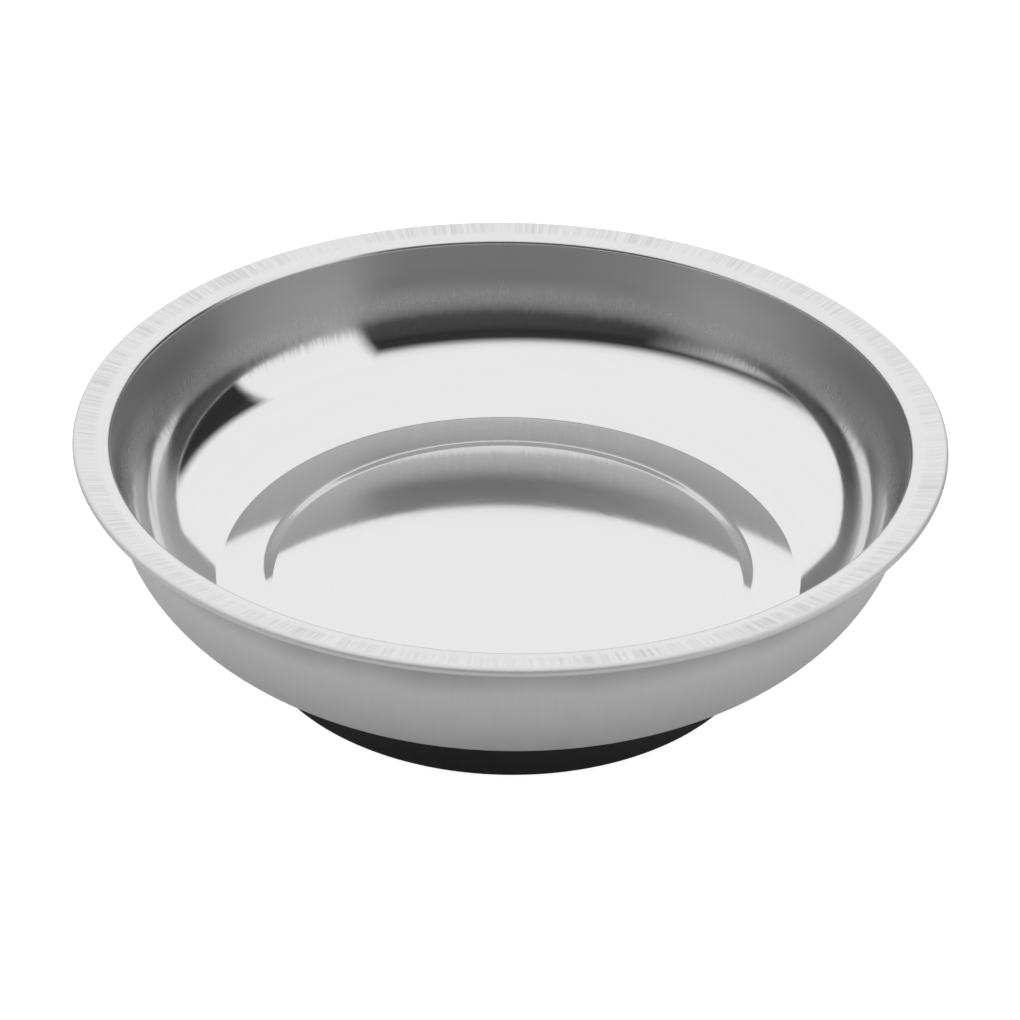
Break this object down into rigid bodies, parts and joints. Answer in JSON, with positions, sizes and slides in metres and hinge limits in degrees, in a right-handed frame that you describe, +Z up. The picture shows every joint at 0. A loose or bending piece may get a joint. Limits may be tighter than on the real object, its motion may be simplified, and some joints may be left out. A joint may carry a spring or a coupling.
{
  "type": "magnetic parts tray",
  "caption": "Round pressed stainless tray with a hemmed lip and a slightly raised centre panel, on a rubber-booted ring magnet bolted underneath, for holding screws and small steel parts.",
  "frame": {"origin": "middle of the flat underside of the rubber boot, the face that the tray stands on", "axes": "+Z up along the axis of the dish, towards its open mouth; X and Y are level, and the picture looks along +Y"},
  "size_m": [0.15, 0.15, 0.043],
  "materials": {
    "stainless_sheet": "satin wall and lip, polished bowl and floor",
    "black_rubber": "moulded, matt",
    "ferrite": "sintered, ground on both faces",
    "zinc_plated_steel": "bright zinc plate",
    "spring_steel": "tempered, dull zinc"
  },
  "bodies": {
    "root": {"dish": "stainless_sheet", "weld_stud": "zinc_plated_steel", "ring_magnet": "ferrite", "pole_plate": "zinc_plated_steel", "flat_washer": "zinc_plated_steel", "spring_washer": "spring_steel", "hex_nut": "zinc_plated_steel", "rubber_boot": "black_rubber"}
  },
  "joints": []
}
